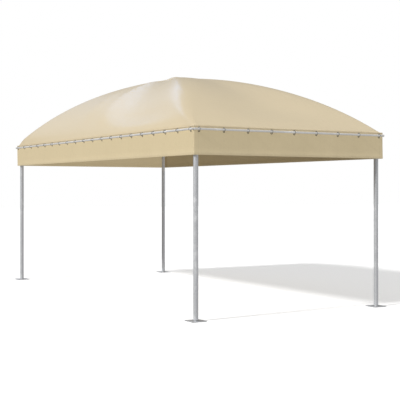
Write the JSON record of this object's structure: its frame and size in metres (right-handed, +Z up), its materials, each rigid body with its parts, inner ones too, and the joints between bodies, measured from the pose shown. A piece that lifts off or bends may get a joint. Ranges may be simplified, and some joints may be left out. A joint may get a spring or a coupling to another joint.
{
  "type": "dome-roof gazebo",
  "caption": "Free-standing gazebo with a rectangular fabric dome roof, a straight valance and round galvanised posts on base plates.",
  "frame": {"origin": "on the ground, under the middle of the roof", "axes": "+X along the long side, +Y along the short side, +Z up"},
  "size_m": [6.1726, 2.9726, 3.273],
  "materials": {
    "galvanised_tube": "hot-dip galvanised, satin",
    "galvanised_plate": "hot-dip galvanised, dull",
    "roof_fabric": "beige coated polyester, satin",
    "valance_fabric": "beige coated polyester, satin"
  },
  "bodies": {
    "root": {"base_plate_front_right": "galvanised_plate", "post_front_right": "galvanised_tube", "post_cap_front_right": "galvanised_plate", "hip_arch_front_right": "galvanised_tube", "base_plate_front_left": "galvanised_plate", "post_front_left": "galvanised_tube", "post_cap_front_left": "galvanised_plate", "hip_arch_front_left": "galvanised_tube", "base_plate_back_left": "galvanised_plate", "post_back_left": "galvanised_tube", "post_cap_back_left": "galvanised_plate", "hip_arch_back_left": "galvanised_tube", "base_plate_back_right": "galvanised_plate", "post_back_right": "galvanised_tube", "post_cap_back_right": "galvanised_plate", "hip_arch_back_right": "galvanised_tube", "ring_beam_front": "galvanised_tube", "valance_front": "valance_fabric", "eave_rail_front": "galvanised_tube", "ring_beam_back": "galvanised_tube", "valance_back": "valance_fabric", "eave_rail_back": "galvanised_tube", "ring_beam_left": "galvanised_tube", "valance_left": "valance_fabric", "eave_rail_left": "galvanised_tube", "ring_beam_right": "galvanised_tube", "valance_right": "valance_fabric", "eave_rail_right": "galvanised_tube", "cross_arch_front": "galvanised_tube", "arch_bracket_front": "galvanised_plate", "cross_arch_back": "galvanised_tube", "arch_bracket_back": "galvanised_plate", "crown_hub": "galvanised_plate", "crown_pad": "galvanised_plate", "roof_membrane": "roof_fabric"}
  },
  "joints": []
}
